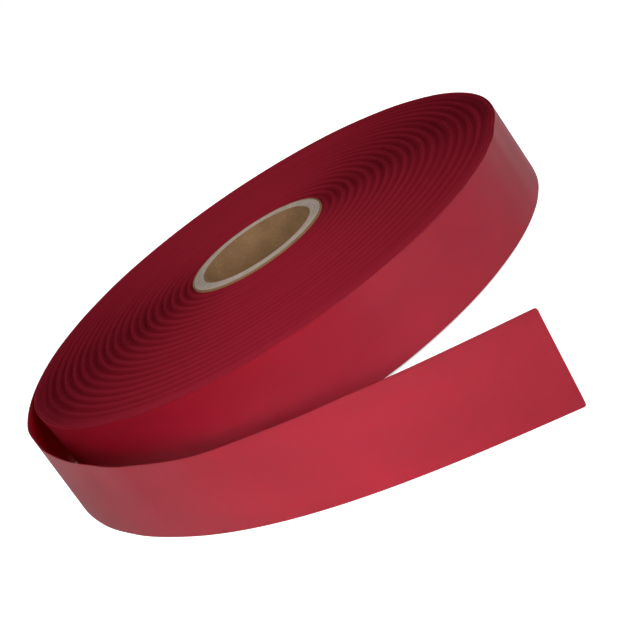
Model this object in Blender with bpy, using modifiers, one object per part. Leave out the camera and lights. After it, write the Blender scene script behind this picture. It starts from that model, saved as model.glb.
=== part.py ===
"""Ribbon spool: a flangeless roll of 19 mm satin ribbon wound on a spiral-wound board core.

The roll lies flat with its axis along +Z and its core standing on z = 0. The last turn has come
loose on the left, and the free end swings round in front of the roll, standing on its edge.
The origin is the centre of the whole object's box, at its base.
"""

import math

import bpy

# Driving dimensions, in metres and degrees.
RIBBON_WIDTH = 0.019
RIBBON_THICKNESS = 0.00025
ROLL_RADIUS = 0.0703            # to the outer face of the last wound turn
ROLL_STEPS = 72                 # facets round every turned or wrapped piece

CORE_LENGTH = 0.020
CORE_RADIUS = 0.02005
BORE_RADIUS = 0.01615
KRAFT_THICKNESS = 0.0004        # the core's inner liner and outer wrap
BOARD_PLIES = 4                 # greyboard plies between them
PLY_GAP = 0.00006               # glue line between two plies

PACK_CLEARANCE = 0.0004         # core to the first turn, where the starting tape sits
TURN_CLEARANCE = 0.00015        # wound pack to its last turn
INNER_TURN_RISE = 0.0001        # the turns climb the core a little as they are wound,
OUTER_TURN_RISE = 0.0009        # so the outer ones end level with its upper end

TAPE_THICKNESS = 0.00012
TAPE_HEIGHT = 0.012
TAPE_ANGLES = (60, 105)

LOOSE_START_ANGLE = 165.7       # where the ribbon leaves the roll, about the roll's axis
LOOSE_LENGTH = 0.188
LOOSE_RADIUS = 0.1004           # bend of the loose ribbon where it leaves the roll
STRAIGHTENING_POWER = 4.2       # how late along its length the bend dies away
TAIL_SEGMENTS = 6
STEPS_PER_SEGMENT = 8
HINGE_GAP = 0.0003              # between two neighbouring lengths of ribbon
LAP_ANGLE = 12.5                # what the last turn leaves bare beneath the loose ribbon

TURN_RADIUS = ROLL_RADIUS - RIBBON_THICKNESS / 2
PACK_RADIUS = ROLL_RADIUS - RIBBON_THICKNESS - TURN_CLEARANCE

COLLECTION = "ribbon_spool"
RIBBON_RED = ("ribbon_red", (0.40, 0.018, 0.040), 0.42)
KRAFT_PAPER = ("kraft_paper", (0.25, 0.145, 0.075), 0.85)
GREYBOARD = ("greyboard", (0.36, 0.33, 0.27), 0.92)
ADHESIVE_TAPE = ("adhesive_tape", (0.62, 0.56, 0.42), 0.30)


def clear_scene():
    for obj in list(bpy.data.objects):
        bpy.data.objects.remove(obj, do_unlink=True)


def new_collection():
    collection = bpy.data.collections.new(COLLECTION)
    bpy.context.scene.collection.children.link(collection)
    return collection


def material(name, colour, roughness):
    """The named material, made the first time it is asked for."""
    found = bpy.data.materials.get(name)
    if found:
        return found
    made = bpy.data.materials.new(name)
    made.use_nodes = True
    shader = made.node_tree.nodes["Principled BSDF"]
    shader.inputs["Base Color"].default_value = (*colour, 1.0)
    shader.inputs["Roughness"].default_value = roughness
    shader.inputs["Metallic"].default_value = 0.0
    return made


def place(obj, look, parent, collection, pivot=(0.0, 0.0, 0.0)):
    """Gives an object its material, its parent and its origin, a point about the roll's axis."""
    obj.data.materials.append(material(*look))
    collection.objects.link(obj)
    obj.parent = parent
    obj["pivot"] = pivot
    parent_pivot = parent.get("pivot", (0.0, 0.0, 0.0))
    obj.location = [mine - above for mine, above in zip(pivot, parent_pivot)]
    return obj


def turned(name, profile, look, parent, collection):
    """A ring turned from a closed (radius, height) profile that runs down its outer side."""
    mesh = bpy.data.meshes.new(name)
    vertices = [(radius, 0.0, height) for radius, height in profile]
    edges = [(i, (i + 1) % len(profile)) for i in range(len(profile))]
    mesh.from_pydata(vertices, edges, [])
    obj = bpy.data.objects.new(name, mesh)
    screw = obj.modifiers.new("turn", "SCREW")
    screw.angle = math.tau
    screw.steps = ROLL_STEPS
    screw.render_steps = ROLL_STEPS
    screw.use_smooth_shade = True
    screw.use_merge_vertices = True
    screw.merge_threshold = 1e-6
    return place(obj, look, parent, collection)


def tube_profile(inner, outer, low, high):
    return [(inner, low), (inner, high), (outer, high), (outer, low)]


def strip(name, points, height, thickness, base, look, parent, collection, pivot=(0.0, 0.0)):
    """A band standing on edge along a line of (x, y) points, with its lower edge at base."""
    curve = bpy.data.curves.new(name, "CURVE")
    curve.dimensions = "2D"
    curve.extrude = height / 2
    spline = curve.splines.new("POLY")
    spline.points.add(len(points) - 1)
    for target, (x, y) in zip(spline.points, points):
        target.co = (x - pivot[0], y - pivot[1], 0.0, 1.0)
    spline.use_smooth = True
    obj = bpy.data.objects.new(name, curve)
    wall = obj.modifiers.new("wall", "SOLIDIFY")
    wall.thickness = thickness
    wall.offset = 0.0
    return place(obj, look, parent, collection, (*pivot, base + height / 2))


def arc_points(radius, start_angle, end_angle):
    steps = max(2, round(ROLL_STEPS * abs(end_angle - start_angle) / 360))
    angles = [start_angle + (end_angle - start_angle) * i / steps for i in range(steps + 1)]
    return [(radius * math.cos(math.radians(a)), radius * math.sin(math.radians(a)))
            for a in angles]


def loose_line(start_share=0.0, end_share=1.0):
    """Centreline of the loose ribbon between two shares of its length, about the roll's axis.

    It leaves the roll along its tangent and keeps one bend, which dies away towards the end.
    """
    steps = TAIL_SEGMENTS * STEPS_PER_SEGMENT * 4
    step = LOOSE_LENGTH / steps
    angle = math.radians(LOOSE_START_ANGLE)
    x, y = TURN_RADIUS * math.cos(angle), TURN_RADIUS * math.sin(angle)
    heading = angle + math.pi / 2
    line = [(x, y)]
    for i in range(steps):
        share = (i + 0.5) / steps
        bend = step * (1 - share**STRAIGHTENING_POWER) / LOOSE_RADIUS
        x += step * math.cos(heading + bend / 2)
        y += step * math.sin(heading + bend / 2)
        heading += bend
        line.append((x, y))
    count = max(2, round((end_share - start_share) * TAIL_SEGMENTS * STEPS_PER_SEGMENT))
    wanted = [start_share + (end_share - start_share) * i / count for i in range(count + 1)]
    return [between(line, share * steps) for share in wanted]


def between(line, index):
    """The point of a line at a fractional index."""
    low = min(int(index), len(line) - 2)
    part = index - low
    (x0, y0), (x1, y1) = line[low], line[low + 1]
    return x0 + (x1 - x0) * part, y0 + (y1 - y0) * part


def axis_offset():
    """Where the roll's axis stands in plan, with the whole object's box centred on the origin."""
    line = loose_line()
    half = RIBBON_THICKNESS / 2
    left = min(x for x, _ in line) - half
    front = min(y for _, y in line) - half
    return -(left + ROLL_RADIUS) / 2, -(front + ROLL_RADIUS) / 2


def make_core(roll_axis, collection):
    """Kraft liner, greyboard plies and kraft wrap, each one ring on the last."""
    turned("core_liner", tube_profile(BORE_RADIUS, BORE_RADIUS + KRAFT_THICKNESS, 0, CORE_LENGTH),
           KRAFT_PAPER, roll_axis, collection)
    inner = BORE_RADIUS + KRAFT_THICKNESS + PLY_GAP
    outer = CORE_RADIUS - KRAFT_THICKNESS
    pitch = (outer - inner) / BOARD_PLIES
    for i in range(BOARD_PLIES):
        low = inner + i * pitch
        turned(f"core_ply_{i + 1}", tube_profile(low, low + pitch - PLY_GAP, 0, CORE_LENGTH),
               GREYBOARD, roll_axis, collection)
    turned("core_wrap", tube_profile(outer, CORE_RADIUS, 0, CORE_LENGTH),
           KRAFT_PAPER, roll_axis, collection)


def make_start_tape(roll_axis, collection):
    """The tab that holds the ribbon's inner end to the core, in the gap under the first turn."""
    strip("start_tape", arc_points(CORE_RADIUS + PACK_CLEARANCE / 2, *TAPE_ANGLES), TAPE_HEIGHT,
          TAPE_THICKNESS, (CORE_LENGTH - TAPE_HEIGHT) / 2, ADHESIVE_TAPE, roll_axis, collection)


def make_pack(roll_axis, collection):
    """All the wound turns below the last one."""
    inner = CORE_RADIUS + PACK_CLEARANCE
    profile = [(inner, INNER_TURN_RISE), (inner, INNER_TURN_RISE + RIBBON_WIDTH),
               (PACK_RADIUS, OUTER_TURN_RISE + RIBBON_WIDTH), (PACK_RADIUS, OUTER_TURN_RISE)]
    turned("ribbon_pack", profile, RIBBON_RED, roll_axis, collection)


def make_outer_turn(roll_axis, collection):
    """The last wound turn, from beneath the loose ribbon once round to where it lifts off."""
    start = LOOSE_START_ANGLE + LAP_ANGLE
    gap_angle = math.degrees(HINGE_GAP / 2 / TURN_RADIUS)
    points = arc_points(TURN_RADIUS, start, LOOSE_START_ANGLE + 360 - gap_angle)
    return strip("outer_turn", points, RIBBON_WIDTH, RIBBON_THICKNESS, OUTER_TURN_RISE,
                 RIBBON_RED, roll_axis, collection)


def make_tail(outer_turn, collection):
    """The loose ribbon in short lengths, each turning about the end of the one before it."""
    parent = outer_turn
    gap_share = HINGE_GAP / 2 / LOOSE_LENGTH
    for i in range(TAIL_SEGMENTS):
        start, end = i / TAIL_SEGMENTS, (i + 1) / TAIL_SEGMENTS
        last = i == TAIL_SEGMENTS - 1
        points = loose_line(start + gap_share, end if last else end - gap_share)
        pivot = loose_line(start, end)[0]
        parent = strip(f"tail_{i + 1}", points, RIBBON_WIDTH, RIBBON_THICKNESS, OUTER_TURN_RISE,
                       RIBBON_RED, parent, collection, pivot)


def main():
    clear_scene()
    collection = new_collection()
    roll_axis = bpy.data.objects.new("roll_axis", None)
    roll_axis.location = (*axis_offset(), 0.0)
    collection.objects.link(roll_axis)
    make_core(roll_axis, collection)
    make_start_tape(roll_axis, collection)
    make_pack(roll_axis, collection)
    make_tail(make_outer_turn(roll_axis, collection), collection)


main()
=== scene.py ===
"""Ribbon spool: the looks of a roll of satin ribbon on a board core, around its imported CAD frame."""

import math

import bpy
import numpy as np
from mathutils import Matrix, Vector


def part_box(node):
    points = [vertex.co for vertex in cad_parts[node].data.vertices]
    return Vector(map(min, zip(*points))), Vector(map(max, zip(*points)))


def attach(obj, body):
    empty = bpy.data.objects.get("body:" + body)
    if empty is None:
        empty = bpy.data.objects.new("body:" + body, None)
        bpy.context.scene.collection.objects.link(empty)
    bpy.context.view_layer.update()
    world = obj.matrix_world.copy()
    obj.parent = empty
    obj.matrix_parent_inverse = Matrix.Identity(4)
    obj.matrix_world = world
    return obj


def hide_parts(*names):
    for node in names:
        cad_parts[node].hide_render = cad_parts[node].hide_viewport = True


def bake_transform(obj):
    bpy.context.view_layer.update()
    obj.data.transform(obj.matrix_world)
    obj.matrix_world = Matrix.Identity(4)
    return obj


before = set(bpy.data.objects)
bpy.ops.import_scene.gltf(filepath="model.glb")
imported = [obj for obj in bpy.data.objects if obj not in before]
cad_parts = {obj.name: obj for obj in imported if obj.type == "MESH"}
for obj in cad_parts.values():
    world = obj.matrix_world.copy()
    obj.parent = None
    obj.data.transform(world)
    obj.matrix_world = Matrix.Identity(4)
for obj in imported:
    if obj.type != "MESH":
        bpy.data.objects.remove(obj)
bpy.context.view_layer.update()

# The roll, read from the frame
PACK_LOW, PACK_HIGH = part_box("ribbon_pack")
TURN_LOW, TURN_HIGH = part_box("outer_turn")
WRAP_LOW, WRAP_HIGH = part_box("core_wrap")
AXIS = (WRAP_LOW + WRAP_HIGH) / 2
CORE_RADIUS = (WRAP_HIGH.x - WRAP_LOW.x) / 2
ROLL_RADIUS = (TURN_HIGH.x - TURN_LOW.x) / 2
RIBBON_BASE = TURN_LOW.z
RIBBON_TOP = TURN_HIGH.z
RIBBON_WIDTH = RIBBON_TOP - RIBBON_BASE

# The wound turns
CAD_THICKNESS = 0.00025         # of the ribbon in the solids
RIBBON_THICKNESS = 0.0002       # of the ribbon as it shows
TURN_RADIUS = ROLL_RADIUS - CAD_THICKNESS / 2
PACK_INNER = CORE_RADIUS + 0.0004
PACK_LIP = CORE_RADIUS + 0.00003        # the first turn's edges, over and under the starting tape
LIP_DEPTH = 0.0008
PACK_OUTER = (PACK_HIGH.x - PACK_LOW.x) / 2
FIRST_TURN_RISE = 0.0004        # the turns next to the core stand this far off the floor
RIDGES = 18
RIDGE_HEIGHT = 0.00017          # half of crest to valley
RIDGE_SHARPNESS = 1.4           # above 1, crests are narrower than valleys
RIDGE_WANDER = ((1, 0.10, 1.0), (2, 0.06, 0.4))     # waves round the roll, share of a ridge, start
RIDGE_LEVEL = 0.75              # of a side without ridges, from 0 in a valley to 1 on a crest
RIDGE_CALM = 0.4                # share of their height on the two sides where the winding ran true
RIDGE_FULL_ANGLE = 0.1          # plan angle in radians where they are at full height
FIRST_RIDGE = 0.3               # share of their height next to the core,
FIRST_RIDGE_REACH = 0.0012      # and how far out it rises by one full height
GROOVE_PITCH = 0.00052          # a few turns that lie alike
GROOVE_HEIGHT = 0.00014         # half of crest to valley
GROOVE_WANDER = 0.3             # share by which it changes round the roll
SHOULDER = 0.0032               # the outermost turns round down to the rim
SHOULDER_DROP = 0.0002
FLOOR_GAP = 0.00002             # the least height of the side that lies on the floor
PACK_FACETS = 240

# The core, as in part.py
BORE_RADIUS = 0.01615
BOARD_PLIES = 4
LAYER_GAP = 0.00004
CORE_FACETS = 180
CUT_ROUNDING = 0.00014          # of each layer's cut ends
CUT_SHORT = (0.00002, 0.00006)  # how far they stop short of the solid's
CUT_WAVES = (2, 3, 7, 13)       # ups and downs round each cut
CUT_WAVE_HEIGHT = 0.00002
SEAM_ANGLE = math.radians(-110)         # where the liner's spiral seam meets the floor
SEAM_TURN = math.radians(55) / 0.020    # how fast it climbs round
SEAM_WIDTH = 0.00025

# The loose ribbon's line, as in part.py
LOOSE_START_ANGLE = math.radians(165.7)
LOOSE_LENGTH = 0.188
LOOSE_RADIUS = 0.1004
STRAIGHTENING_POWER = 4.2
TAIL_SEGMENTS = 6
LAP_ANGLE = math.radians(12.5)
FINE_STEP = 0.0005
END_CORNER = 0.0005             # radius of the cut end's two corners
END_SKEW = 0.0004               # the cut runs this far past square at the top, and short at the bottom
SKEW_LENGTH = 0.012             # of ribbon that the skew is spread over
END_STEPS = 8                   # finer steps at the cut end, for its corners

# How far the loose ribbon's two edges stand out from its line, in mm: (distance along, top, bottom)
LOOSE_LEAN = ((0, 0, 0), (24, 0, 0), (40, 0, 0.35), (56, -0.8, 0.56), (72, -1.1, 0.44), (88, -0.98, 0.07),
              (104, -0.08, -0.21), (124, 1.0, -0.17), (144, 0.1, -0.15), (156, -0.4, -0.12),
              (168, -0.2, -0.07), (188, -0.05, 0.03))

# How far the outer turns' two edges stand out from a true circle, in mm: (plan angle in degrees, top, bottom)
ROLL_LEAN = ((-195, 0, 0), (-175, 0, 0), (-158, -0.5, 0), (-135, 0, 0), (-105, 0.5, 0.4), (-75, 0.75, 0.7),
             (-55, 0.5, 0.9), (-43, 0.1, 1.03), (-35, -0.4, 1.0), (-27, -1.1, 0.8), (-15, -1.0, 0.4),
             (5, -1.0, -0.3), (25, -0.6, -0.3), (40, 0, 0), (61, 0.7, 0.5), (95, 1.1, 0.8), (125, 1.0, 0.7),
             (141, 0.35, 0.3), (152, 0, 0), (165, 0, 0))
ROLL_LEAN_DEPTH = 0.014         # how far in from the rim the lean dies away


def mesh_object(name, vertices, faces, sharp=None):
    """A smooth-shaded mesh, with edges sharper than `sharp` degrees left crisp."""
    mesh = bpy.data.meshes.new(name)
    mesh.from_pydata(np.asarray(vertices).tolist(), [], faces)
    mesh.validate()
    mesh.shade_smooth()
    if sharp is not None:
        mesh.set_sharp_from_angle(angle=math.radians(sharp))
    obj = bpy.data.objects.new(name, mesh)
    bpy.context.scene.collection.objects.link(obj)
    return obj


def smooth_between(value, stops):
    """The stops' second and later numbers at this value of their first, eased between stops."""
    for low, high in zip(stops, stops[1:]):
        if value <= high[0]:
            share = min(1.0, max(0.0, (value - low[0]) / (high[0] - low[0])))
            share = share * share * (3 - 2 * share)
            return [a + (b - a) * share for a, b in zip(low[1:], high[1:])]
    return list(stops[-1][1:])


# Materials

class Paint:
    """A new node material, with short calls for the textures that feed its Principled shader."""

    def __init__(self, name, roughness, **settings):
        self.material = bpy.data.materials.new(name)
        self.material.use_nodes = True
        self.tree = self.material.node_tree
        self.shader = self.tree.nodes["Principled BSDF"]
        self.shader.inputs["Roughness"].default_value = roughness
        for socket, value in settings.items():
            self.shader.inputs[socket.replace("_", " ")].default_value = value

    def node(self, kind, **settings):
        node = self.tree.nodes.new(kind)
        for name, value in settings.items():
            setattr(node, name, value)
        return node

    def link(self, out, into):
        self.tree.links.new(out, into)

    def math(self, operation, a, b=0.0, c=0.0):
        node = self.node("ShaderNodeMath", operation=operation)
        for socket, value in zip(node.inputs, (a, b, c)):
            if isinstance(value, (int, float)):
                socket.default_value = value
            else:
                self.link(value, socket)
        return node.outputs[0]

    def place(self, source="Object", scale=(1, 1, 1)):
        """Coordinates in metres times scale: Object for the frame's, UV for a ribbon's length and width."""
        coordinates = self.node("ShaderNodeTexCoord")
        mapping = self.node("ShaderNodeMapping")
        mapping.inputs["Scale"].default_value = scale
        self.link(coordinates.outputs[source], mapping.inputs["Vector"])
        return mapping.outputs[0]

    def from_axis(self):
        """x and y from the roll's axis and z from the floor, in metres."""
        where = self.node("ShaderNodeSeparateXYZ")
        self.link(self.place(), where.inputs[0])
        x, y, z = where.outputs
        return self.math("SUBTRACT", x, AXIS.x), self.math("SUBTRACT", y, AXIS.y), z

    def noise(self, where, scale=1.0, detail=2.0, roughness=0.5):
        node = self.node("ShaderNodeTexNoise")
        node.inputs["Scale"].default_value = scale
        node.inputs["Detail"].default_value = detail
        node.inputs["Roughness"].default_value = roughness
        self.link(where, node.inputs["Vector"])
        return node.outputs[0]

    def spread(self, value, low, high, to_low=0.0, to_high=1.0):
        """Maps low..high on to to_low..to_high."""
        node = self.node("ShaderNodeMapRange")
        for socket, number in zip(node.inputs[1:5], (low, high, to_low, to_high)):
            socket.default_value = number
        self.link(value, node.inputs[0])
        return node.outputs[0]

    def blend(self, factor, a, b):
        """A colour between a and b, each a colour or a socket."""
        node = self.node("ShaderNodeMix", data_type="RGBA")
        for socket, value in zip((node.inputs[0], node.inputs[6], node.inputs[7]), (factor, a, b)):
            if isinstance(value, tuple):
                socket.default_value = (*value, 1.0)
            elif isinstance(value, (int, float)):
                socket.default_value = value
            else:
                self.link(value, socket)
        return node.outputs[2]

    def bump(self, height, distance, strength=1.0, under=None):
        node = self.node("ShaderNodeBump")
        node.inputs["Strength"].default_value = strength
        node.inputs["Distance"].default_value = distance
        self.link(height, node.inputs["Height"])
        if under:
            self.link(under, node.inputs["Normal"])
        return node.outputs[0]

    def finish(self, colour, roughness=None, normal=None):
        for out, name in ((colour, "Base Color"), (roughness, "Roughness"), (normal, "Normal")):
            if out:
                self.link(out, self.shader.inputs[name])
        return self.material


def satin_material():
    """The ribbon's face: a matt satin, with a fine embossed grain and threads along its length."""
    paint = Paint("satin_ribbon", 0.38, Metallic=0.35, Specular_IOR_Level=0.75, Subsurface_Weight=0.9,
                  Subsurface_Radius=(1.0, 0.10, 0.14), Subsurface_Scale=0.0008)
    threads = paint.noise(paint.place("UV", (350, 5200, 1)), detail=1.0)
    grain = paint.noise(paint.place("UV", (3000, 3000, 1)), detail=2.0)
    cloudy = paint.noise(paint.place("UV", (55, 110, 1)), detail=3.0)
    across = paint.node("ShaderNodeSeparateXYZ")
    paint.link(paint.place("UV"), across.inputs[0])
    from_edge = paint.math("PINGPONG", across.outputs[1], RIBBON_WIDTH / 2)
    edge = paint.spread(from_edge, 0.0001, 0.0005, 1.0, 0.0)
    mottled = paint.blend(paint.spread(cloudy, 0.3, 0.7), (0.345, 0.0045, 0.0225), (0.405, 0.0065, 0.0285))
    grained = paint.blend(paint.spread(grain, 0.25, 0.75, 0.0, 0.35), mottled, (0.27, 0.0038, 0.0175))
    colour = paint.blend(paint.math("MULTIPLY", edge, 0.35), grained, (0.20, 0.002, 0.010))
    rough = paint.spread(grain, 0.2, 0.8, 0.33, 0.43)
    normal = paint.bump(grain, 0.00002, 0.6, under=paint.bump(threads, 0.00002, 0.5))
    return paint.finish(colour, rough, normal)


def edges_material():
    """The roll's side: the raw edges of some three hundred turns, with painted shade darkening the valleys
    between ridges.
    """
    paint = Paint("ribbon_edges", 0.55, Specular_IOR_Level=0.0)
    x, y, _ = paint.from_axis()
    radius = paint.math("SQRT", paint.math("ADD", paint.math("MULTIPLY", x, x), paint.math("MULTIPLY", y, y)))
    angle = paint.math("ARCTAN2", y, x)
    turn_place = paint.node("ShaderNodeCombineXYZ")
    paint.link(paint.math("MULTIPLY", radius, 3600.0), turn_place.inputs[0])
    paint.link(paint.math("MULTIPLY", paint.math("COSINE", angle), 1.2), turn_place.inputs[1])
    paint.link(paint.math("MULTIPLY", paint.math("SINE", angle), 1.2), turn_place.inputs[2])
    turns = paint.noise(turn_place.outputs[0], detail=1.0)
    # painted shade: the ridge attribute makes valleys darker and crests lighter, on top of a random tone per
    # turn
    height = paint.node("ShaderNodeAttribute", attribute_name="ridge")
    painted_shade_and_tone = paint.math("ADD", paint.math("MULTIPLY", height.outputs["Fac"], 0.8),
                      paint.spread(turns, 0.3, 0.7, -0.12, 0.12))
    colour = paint.blend(painted_shade_and_tone, (0.126, 0.0048, 0.0104), (0.190, 0.0105, 0.0212))
    normal = paint.bump(turns, 0.00005, 0.6)
    return paint.finish(colour, paint.spread(turns, 0.3, 0.7, 0.42, 0.6), normal)


def kraft_material(seam):
    """Brown kraft paper with fibres and flecks; the liner shows the spiral seam of a wound tube."""
    paint = Paint("kraft_liner" if seam else "kraft_wrap", 0.85, Specular_IOR_Level=0.25)
    fibres = paint.noise(paint.place(scale=(900, 900, 2600)), detail=3.0, roughness=0.6)
    clouds = paint.noise(paint.place(scale=(160, 160, 160)), detail=3.0)
    colour = paint.blend(paint.spread(clouds, 0.3, 0.7), (0.141, 0.075, 0.032), (0.179, 0.100, 0.044))
    colour = paint.blend(paint.spread(fibres, 0.55, 0.75, 0.0, 0.45), colour, (0.28, 0.175, 0.090))
    colour = paint.blend(paint.spread(fibres, 0.42, 0.28, 0.0, 0.5), colour, (0.10, 0.050, 0.022))
    relief = fibres
    if seam:
        x, y, z = paint.from_axis()
        off = paint.math("SUBTRACT", paint.math("ARCTAN2", y, x), paint.math("MULTIPLY", z, SEAM_TURN))
        off = paint.math("ABSOLUTE", paint.math("SUBTRACT", off, SEAM_ANGLE))
        near = paint.spread(off, 0.0, SEAM_WIDTH / BORE_RADIUS, 1.0, 0.0)
        colour = paint.blend(paint.math("MULTIPLY", near, 0.7), colour, (0.075, 0.038, 0.018))
        relief = paint.math("SUBTRACT", fibres, near)
    return paint.finish(colour, None, paint.bump(relief, 0.00006, 0.6))


def board_material():
    """Grey recycled board, with pale and dark fibres."""
    paint = Paint("greyboard", 0.92, Specular_IOR_Level=0.2)
    fibres = paint.noise(paint.place(scale=(2400, 2400, 1200)), detail=3.0, roughness=0.65)
    clouds = paint.noise(paint.place(scale=(420, 420, 420)), detail=2.0)
    colour = paint.blend(paint.spread(clouds, 0.3, 0.7), (0.262, 0.212, 0.180), (0.320, 0.264, 0.228))
    colour = paint.blend(paint.spread(fibres, 0.45, 0.28, 0.0, 0.6), colour, (0.20, 0.17, 0.12))
    colour = paint.blend(paint.spread(fibres, 0.6, 0.75, 0.0, 0.5), colour, (0.55, 0.52, 0.45))
    return paint.finish(colour, None, paint.bump(fibres, 0.00008, 0.7))


def tape_material():
    """Clear adhesive tape gone a little yellow, with fine stretch lines."""
    paint = Paint("adhesive_tape", 0.2, Specular_IOR_Level=0.5)
    lines = paint.noise(paint.place(scale=(300, 300, 5000)), detail=2.0)
    colour = paint.blend(paint.spread(lines, 0.3, 0.7), (0.50, 0.42, 0.26), (0.62, 0.54, 0.36))
    return paint.finish(colour, paint.spread(lines, 0.3, 0.7, 0.15, 0.3), paint.bump(lines, 0.00003, 0.4))


def floor_material(name, glow, shade):
    """Pale paper that glows where it is open; the glow fades in a narrow gap between the roll and its ribbon,
    a painted shadow.
    """
    paint = Paint(name, 0.9, Specular_IOR_Level=0.1, Emission_Color=(1, 1, 1, 1))
    # painted shadow: the glow is dimmed where nearby walls hide the sky
    openness = paint.node("ShaderNodeAmbientOcclusion", samples=16)
    openness.inputs["Distance"].default_value = SHADE_REACH
    glow_with_painted_shadow = paint.spread(openness.outputs["AO"], *SHADE_OPENNESS, 0.0, glow)
    paint.link(glow_with_painted_shadow, paint.shader.inputs["Emission Strength"])
    paper = paint.noise(paint.place(scale=(40, 40, 40)), detail=2.0)
    return paint.finish(paint.blend(paper, (shade - 0.01,) * 3, (shade + 0.01,) * 3))


# The wound pack

def roll_lean(angle, radius, share_up):
    """Outward shift of the outer turns at this plan angle and share of the ribbon's width."""
    first = ROLL_LEAN[0][0]
    degrees = (math.degrees(angle) - first) % 360 + first
    top, bottom = smooth_between(degrees, ROLL_LEAN)
    depth = max(0.0, 1 - (ROLL_RADIUS - radius) / ROLL_LEAN_DEPTH)
    return depth**2 * (bottom + (top - bottom) * share_up) / 1000


def ridge(radius, angle):
    """From 0 in a valley to 1 on a crest, where the winding wandered to and fro."""
    run = (radius - PACK_LIP) / (PACK_OUTER - SHOULDER - PACK_LIP)
    phase = RIDGES * run
    for waves, size, start in RIDGE_WANDER:
        phase += size * math.sin(waves * angle + start)
    wave = (0.5 - 0.5 * math.cos(math.tau * phase))**RIDGE_SHARPNESS
    fade = min(1.0, max(0.0, (PACK_OUTER - SHOULDER * 0.7 - radius) / (SHOULDER * 0.5)))
    fade *= min(1.0, FIRST_RIDGE + (radius - PACK_LIP) / FIRST_RIDGE_REACH)
    fade *= RIDGE_CALM + (1 - RIDGE_CALM) * math.cos(angle - RIDGE_FULL_ANGLE)**2
    rim = min(1.0, max(0.0, (radius - PACK_OUTER) / SHOULDER + 1))
    return RIDGE_LEVEL + (wave - RIDGE_LEVEL) * fade + (1 - RIDGE_LEVEL) * rim


def ring_profile(rng):
    """(radius, groove height) for each ring of the pack's side, from the core out to the rim."""
    rings = [(PACK_LIP, 0.0)]
    radius = PACK_LIP
    while radius < PACK_OUTER - GROOVE_PITCH:
        size = GROOVE_HEIGHT * rng.uniform(0.8, 1.2)
        width = GROOVE_PITCH * rng.uniform(0.9, 1.1)
        rings += [(radius + width * 0.3, size), (radius + width, -size)]
        radius += width
    return rings + [(PACK_OUTER, 0.0)]


def make_pack(edges, satin):
    """The wound turns in one mesh: their edges above and below, and the outermost one's face."""
    rng = np.random.default_rng(7)
    rings = ring_profile(rng)
    wander = rng.uniform(0, math.tau, len(rings))
    # From the lip out, down and back: (radius, groove height, wander, share of the width up, drop)
    profile = [(radius, groove, turn, 1, 0.0) for (radius, groove), turn in zip(rings, wander)]
    profile += [(radius, groove, turn, 0, 0.0) for radius, groove, turn, _, _ in profile[::-1]]
    for share_up in (0, 1):
        drop = LIP_DEPTH * (1 if share_up else -1)
        inner = [(PACK_LIP, 0.0, 0.0, share_up, drop), (PACK_INNER, 0.0, 0.0, share_up, drop * 1.3)]
        profile += inner[::-1] if share_up else inner
    vertices, ridges = [], []
    for radius, groove, turn, share_up, drop in profile:
        share = (radius - PACK_LIP) / (PACK_OUTER - PACK_LIP)
        rise = FIRST_TURN_RISE + (RIBBON_BASE - FIRST_TURN_RISE) * share
        near_rim = max(0.0, 1 - (PACK_OUTER - radius) / SHOULDER)
        for facet in range(PACK_FACETS):
            angle = math.tau * facet / PACK_FACETS
            crest = ridge(radius, angle)
            side = RIDGE_HEIGHT * (2 * crest - 1.2) + groove * (1 + GROOVE_WANDER * math.cos(angle + turn))
            if share_up:
                side -= SHOULDER_DROP * near_rim**2
            height = max(rise + side + share_up * RIBBON_WIDTH - drop, FLOOR_GAP)
            out = radius + roll_lean(angle, radius, share_up)
            vertices.append((AXIS.x + out * math.cos(angle), AXIS.y + out * math.sin(angle), height))
            ridges.append(crest if share_up else 1 - crest)
    faces = []
    for ring in range(len(profile)):
        here, there = ring * PACK_FACETS, (ring + 1) % len(profile) * PACK_FACETS
        for facet in range(PACK_FACETS):
            along = (facet + 1) % PACK_FACETS
            faces.append((here + facet, there + facet, there + along, here + along))
    pack = mesh_object("wound_ribbon", vertices, faces, sharp=45)
    # the ridge attribute also carries the side's painted shade: dark in valleys, light on crests
    pack.data.attributes.new("ridge", "FLOAT", "POINT").data.foreach_set("value", ridges)
    pack.data.materials.append(edges)
    pack.data.materials.append(satin)
    layer = pack.data.uv_layers.new(name="ribbon")
    wall = (len(rings) - 1) * PACK_FACETS
    step = math.tau * PACK_OUTER / PACK_FACETS
    for facet, face in enumerate(pack.data.polygons[wall:wall + PACK_FACETS]):
        face.material_index = 1
        for corner, (ahead, up) in zip(face.loop_indices, ((0, 1), (0, 0), (1, 0), (1, 1))):
            layer.data[corner].uv = ((facet + ahead) * step, up * RIBBON_WIDTH)
    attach(pack, "roll")
    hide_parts("ribbon_pack")


# The ribbon outside the pack

def loose_line():
    """(distance, x, y, heading) along the loose ribbon's centreline, about every FINE_STEP."""
    steps = TAIL_SEGMENTS * 2 * round(LOOSE_LENGTH / TAIL_SEGMENTS / 2 / FINE_STEP)
    step = LOOSE_LENGTH / steps
    x = TURN_RADIUS * math.cos(LOOSE_START_ANGLE)
    y = TURN_RADIUS * math.sin(LOOSE_START_ANGLE)
    heading = LOOSE_START_ANGLE + math.pi / 2
    points = [(0.0, x, y, heading)]
    for i in range(steps):
        bend = step * (1 - ((i + 0.5) / steps)**STRAIGHTENING_POWER) / LOOSE_RADIUS
        x += step * math.cos(heading + bend / 2)
        y += step * math.sin(heading + bend / 2)
        heading += bend
        points.append(((i + 1) * step, x, y, heading))
    return points


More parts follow.
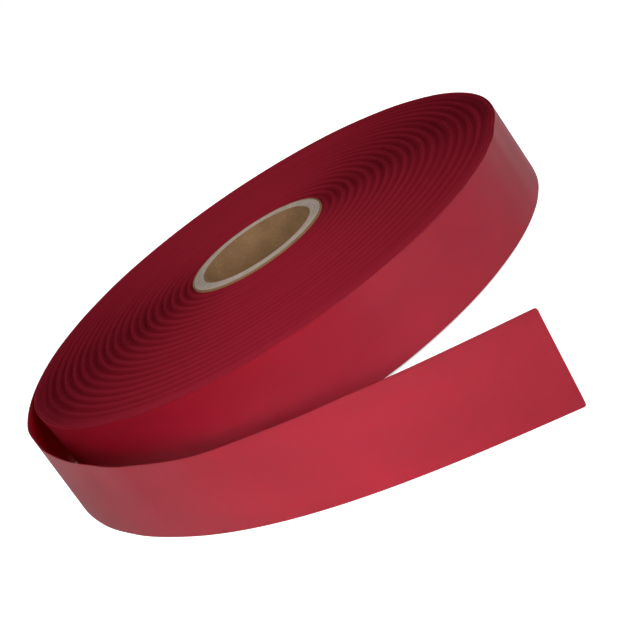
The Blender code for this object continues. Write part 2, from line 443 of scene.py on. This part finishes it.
def turn_line():
    """The same for the last wound turn, from beneath the loose ribbon round to where it lifts."""
    start = LOOSE_START_ANGLE + LAP_ANGLE
    length = (math.tau - LAP_ANGLE) * TURN_RADIUS
    steps = round(length / FINE_STEP / 2)
    points = []
    for i in range(steps + 1):
        angle = start + (math.tau - LAP_ANGLE) * i / steps
        points.append((length * (i / steps - 1), TURN_RADIUS * math.cos(angle),
                       TURN_RADIUS * math.sin(angle), angle + math.pi / 2))
    return points


def loose_row(point, share_up):
    """The loose ribbon's shift along its line, shift outward and height, at this share of its width."""
    along = point[0]
    top, bottom = smooth_between(along * 1000, LOOSE_LEAN)
    to_end = LOOSE_LENGTH - along
    height = RIBBON_BASE + RIBBON_WIDTH * share_up
    if to_end < END_CORNER:
        cut = END_CORNER - math.sqrt(END_CORNER**2 - (END_CORNER - to_end)**2)
        height = min(max(height, RIBBON_BASE + cut), RIBBON_TOP - cut)
    skew = END_SKEW * (2 * share_up - 1) * max(0.0, 1 - to_end / SKEW_LENGTH)
    return skew, (bottom + (top - bottom) * share_up) / 1000, height


def turn_row(point, share_up):
    """The same for the last wound turn."""
    angle = math.atan2(point[2], point[1])
    return 0.0, roll_lean(angle, TURN_RADIUS, share_up), RIBBON_BASE + RIBBON_WIDTH * share_up


def strip(name, line, row_at, material, rows=8):
    """A band of ribbon standing on edge along a line, with its length and width as UVs in metres."""
    half = RIBBON_THICKNESS / 2
    vertices, places = [], []
    for point in line:
        along, x, y, heading = point
        nx, ny = math.sin(heading), -math.cos(heading)
        for side in (half, -half):
            for row in range(rows + 1):
                ahead, out, height = row_at(point, row / rows)
                out += side
                vertices.append((AXIS.x + x + nx * out - ny * ahead,
                                 AXIS.y + y + ny * out + nx * ahead, height))
                places.append((along + ahead, height - RIBBON_BASE))
    ring = 2 * (rows + 1)
    loop = list(range(rows + 1)) + [rows + 1 + row for row in range(rows, -1, -1)]
    faces = []
    for i in range(len(line) - 1):
        for a, b in zip(loop, loop[1:] + loop[:1]):
            faces.append((i * ring + a, (i + 1) * ring + a, (i + 1) * ring + b, i * ring + b))
    faces.append(tuple(reversed(loop)))
    faces.append(tuple((len(line) - 1) * ring + a for a in loop))
    obj = mesh_object(name, vertices, faces, sharp=40)
    layer = obj.data.uv_layers.new(name="ribbon")
    for corner in obj.data.loops:
        layer.data[corner.index].uv = places[corner.vertex_index]
    obj.data.materials.append(material)
    return obj


def make_ribbon(material):
    """The last turn, then the loose ribbon in pieces that each reach across one hinge, and its end."""
    line = turn_line()
    turn = strip("last_turn", line, turn_row, material)
    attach(turn, "outer_turn")
    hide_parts("outer_turn")

    line = loose_line()
    per_half = (len(line) - 1) // (TAIL_SEGMENTS * 2)

    def point(i):
        return Vector((AXIS.x + line[i][1], AXIS.y + line[i][2], AXIS.z))

    lift = strip("ribbon_lift", line[:per_half + 1], loose_row, material)
    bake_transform(lift)
    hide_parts("tail_1")

    for k in range(1, TAIL_SEGMENTS):
        low, high = (2 * k - 1) * per_half, (2 * k + 1) * per_half
        piece = strip(f"ribbon_bend_{k}", line[low:high + 1], loose_row, material)
        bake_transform(piece)
        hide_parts(f"tail_{k + 1}")

    last = line[(2 * TAIL_SEGMENTS - 1) * per_half:]
    near_end = [last[-1]]
    back = FINE_STEP / 4
    for _ in range(END_STEPS):
        at = near_end[-1]
        near_end.append((at[0] - back, at[1] - back * math.cos(at[3]), at[2] - back * math.sin(at[3]), at[3]))
    last = [p for p in last if p[0] < near_end[-1][0] - FINE_STEP / 8] + near_end[::-1]
    end = strip("ribbon_end", last, loose_row, material)
    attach(end, f"tail_{TAIL_SEGMENTS}")


# The core

def make_tube(name, node, inner, outer, material, rng):
    """One wound layer of the core, its cut ends a little rounded and uneven."""
    low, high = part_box(node)
    soft = min(CUT_ROUNDING, (outer - inner) * 0.3)
    profile = [(inner, 0, soft), (inner + soft, 0, 0), (outer - soft, 0, 0), (outer, 0, soft),
               (outer, 1, soft), (outer - soft, 1, 0), (inner + soft, 1, 0), (inner, 1, soft)]
    waves = [(turns, rng.uniform(0.2, 1.0), rng.uniform(0, math.tau)) for turns in CUT_WAVES]
    short = rng.uniform(*CUT_SHORT)
    vertices = []
    for radius, share_up, in_by in profile:
        for facet in range(CORE_FACETS):
            angle = math.tau * facet / CORE_FACETS
            wave = sum(size * (0.5 + 0.5 * math.sin(turns * angle + start)) for turns, size, start in waves)
            cut = in_by + short + CUT_WAVE_HEIGHT * wave
            height = high.z - cut if share_up else low.z + cut
            vertices.append((AXIS.x + radius * math.cos(angle), AXIS.y + radius * math.sin(angle), height))
    faces = []
    for ring in range(len(profile)):
        here, there = ring * CORE_FACETS, (ring + 1) % len(profile) * CORE_FACETS
        for facet in range(CORE_FACETS):
            along = (facet + 1) % CORE_FACETS
            faces.append((here + facet, here + along, there + along, there + facet))
    tube = mesh_object(name, vertices, faces, sharp=50)
    tube.data.materials.append(material)
    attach(tube, "roll")
    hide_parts(node)


def make_core(liner, kraft, board, tape):
    rng = np.random.default_rng(11)
    layers = ["core_liner"] + [f"core_ply_{i}" for i in range(1, BOARD_PLIES + 1)] + ["core_wrap"]
    inner = BORE_RADIUS
    for node in layers:
        low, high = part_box(node)
        outer = (high.x - low.x) / 2
        if node.startswith("core_ply"):
            make_tube(node.replace("core_", "board_"), node, inner, outer, board, rng)
        else:
            material = liner if node == "core_liner" else kraft
            make_tube(node.replace("core", "kraft"), node, inner, outer, material, rng)
        inner = outer + LAYER_GAP
    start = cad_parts["start_tape"].data.materials
    start.clear()
    start.append(tape)


# Camera, light and floor

CAMERA_FROM_AXIS = Vector((0.00681, -0.24315, 0.08522))   # z from the floor
CAMERA_HEADING = -1.03          # degrees clockwise from +Y
CAMERA_ELEVATION = 20.98
CAMERA_ROLL = -34.46
CAMERA_LENS = 53.78
GLOW = 0.95                     # of the white ground the camera sees
SWEEP_SHADE = 0.55              # its colour, and that of its one patch that doesn't glow, a painted shade under the slit
PATCH_SHADE = 0.30
SHADE_REACH = 0.02              # how far off a wall the painted shadow still dims the glow
SHADE_OPENNESS = (0.02, 0.12)   # how much of the sky is clear where the glow starts, and where it is full
SLIT_SHADE = (0.019, 0.029)     # where along the loose ribbon the floor shows through the slit beneath it
SLIT_OUT = (-0.0008, 0.0010)    # that shaded floor's two edges, outward from the ribbon's line
SLIT_LIFT = 0.00001             # it lies this far above the glowing floor
BOUNCE = 0.6                    # how pale a floor lights the object from below
WORLD_STRENGTH = 0.04
LIGHT_DISTANCE = 0.9
SOFT_BOXES = (                  # azimuth, elevation, size, power
    ("key", -14, 35, 0.3, 3.0),
    ("soft_left", -70, 35, 0.3, 1.1),
    ("soft_right", 70, 35, 0.3, 1.8),
    ("low_left", -60, 14, 0.3, 0.7),
    ("low_right", 30, 14, 0.3, 2.6),
    ("back_left", -122, 42, 0.4, 1.5),
    ("back_right", 122, 42, 0.4, 1.5))
SPOTS = (                       # place, aim, cone, softness, power
    ("pool", (-0.12, -0.50, 0.22), (-0.012, -0.080, 0.010), 14, 0.03, 7.3),
    ("far_pool", (0.02, -0.42, 0.44), (0.002, 0.072, 0.020), 15, 0.05, 5.5))
SWEEP = ((0.0, 0.0), (1.6, 0.0), (2.1, 0.12), (2.45, 0.42), (2.6, 0.9), (2.6, 2.6))  # radius, height
LEVEL = ((0.0, -0.001), (2.5, -0.001))
SWEEP_FACETS = 96


def make_camera():
    data = bpy.data.cameras.new("camera")
    data.lens = CAMERA_LENS
    data.sensor_width = 36
    data.clip_start = 0.01
    camera = bpy.data.objects.new("camera", data)
    bpy.context.scene.collection.objects.link(camera)
    turn = (Matrix.Rotation(math.radians(-CAMERA_HEADING), 4, "Z")
            @ Matrix.Rotation(math.radians(90 - CAMERA_ELEVATION), 4, "X")
            @ Matrix.Rotation(math.radians(CAMERA_ROLL), 4, "Z"))
    place = Vector((AXIS.x, AXIS.y, 0.0)) + CAMERA_FROM_AXIS
    camera.matrix_world = Matrix.Translation(place) @ turn
    bpy.context.scene.camera = camera


def soft_box(name, azimuth, elevation, size, power):
    """A round soft box pointed at the origin, its azimuth in degrees from the front towards +X."""
    data = bpy.data.lights.new(name, "AREA")
    data.shape = "DISK"
    data.size = size
    data.energy = power
    light = bpy.data.objects.new(name, data)
    bpy.context.scene.collection.objects.link(light)
    around, up = math.radians(azimuth), math.radians(elevation)
    level = LIGHT_DISTANCE * math.cos(up)
    light.location = (level * math.sin(around), -level * math.cos(around), LIGHT_DISTANCE * math.sin(up))
    light.rotation_euler = (-light.location).to_track_quat("-Z", "Y").to_euler()


def spot_light(name, place, aim, cone, softness, power):
    """A soft-edged spot, its cone in degrees."""
    data = bpy.data.lights.new(name, "SPOT")
    data.energy, data.spot_size, data.spot_blend = power, math.radians(cone), 1.0
    data.shadow_soft_size = softness
    light = bpy.data.objects.new(name, data)
    bpy.context.scene.collection.objects.link(light)
    light.location = place
    light.rotation_euler = (Vector(aim) - Vector(place)).to_track_quat("-Z", "Y").to_euler()


def make_floor(name, profile, glow, shade):
    """A round sweep, level under the object and curving up all round it."""
    vertices = [(0.0, 0.0, profile[0][1])]
    for radius, height in profile[1:]:
        for i in range(SWEEP_FACETS):
            angle = math.tau * i / SWEEP_FACETS
            vertices.append((radius * math.cos(angle), radius * math.sin(angle), height))
    faces = [(0, 1 + i, 1 + (i + 1) % SWEEP_FACETS) for i in range(SWEEP_FACETS)]
    for ring in range(len(profile) - 2):
        for i in range(SWEEP_FACETS):
            a, b = 1 + ring * SWEEP_FACETS + i, 1 + ring * SWEEP_FACETS + (i + 1) % SWEEP_FACETS
            faces.append((a, a + SWEEP_FACETS, b + SWEEP_FACETS, b))
    floor = mesh_object(name, vertices, faces)
    floor.data.materials.append(floor_material(name, glow, shade))
    return floor


def make_slit_shade():
    """A patch of plain floor in place of the glowing one, under the loose ribbon's edge near the roll:
    painted shade where the floor shows through the slit beneath it.
    """
    vertices = []
    for along, x, y, _ in loose_line()[::2]:
        if SLIT_SHADE[0] <= along <= SLIT_SHADE[1]:
            for out in SLIT_OUT:
                share = 1 + out / math.hypot(x, y)
                vertices.append((AXIS.x + x * share, AXIS.y + y * share, SLIT_LIFT))
    faces = [(i, i + 1, i + 3, i + 2) for i in range(0, len(vertices) - 3, 2)]
    patch = mesh_object("shade_floor", vertices, faces)
    patch.data.materials.append(floor_material("shade_floor", 0.0, PATCH_SHADE))
    return patch


def make_stage():
    for seen in (make_floor("white_sweep", SWEEP, GLOW, SWEEP_SHADE), make_slit_shade()):
        seen.visible_diffuse = seen.visible_glossy = seen.visible_shadow = False
    bounce = make_floor("bounce_sweep", LEVEL, 0.0, BOUNCE)
    bounce.visible_camera = False
    world = bpy.data.worlds.new("studio")
    world.use_nodes = True
    world.node_tree.nodes["Background"].inputs["Strength"].default_value = WORLD_STRENGTH
    world.node_tree.nodes["Background"].inputs["Color"].default_value = (1, 1, 1, 1)
    bpy.context.scene.world = world
    for light in SPOTS:
        spot_light(*light)
    for light in SOFT_BOXES:
        soft_box(*light)
    bpy.context.scene.view_settings.view_transform = "Standard"


satin = satin_material()
make_pack(edges_material(), satin)
make_ribbon(satin)
make_core(kraft_material(seam=True), kraft_material(seam=False), board_material(), tape_material())
make_camera()
make_stage()
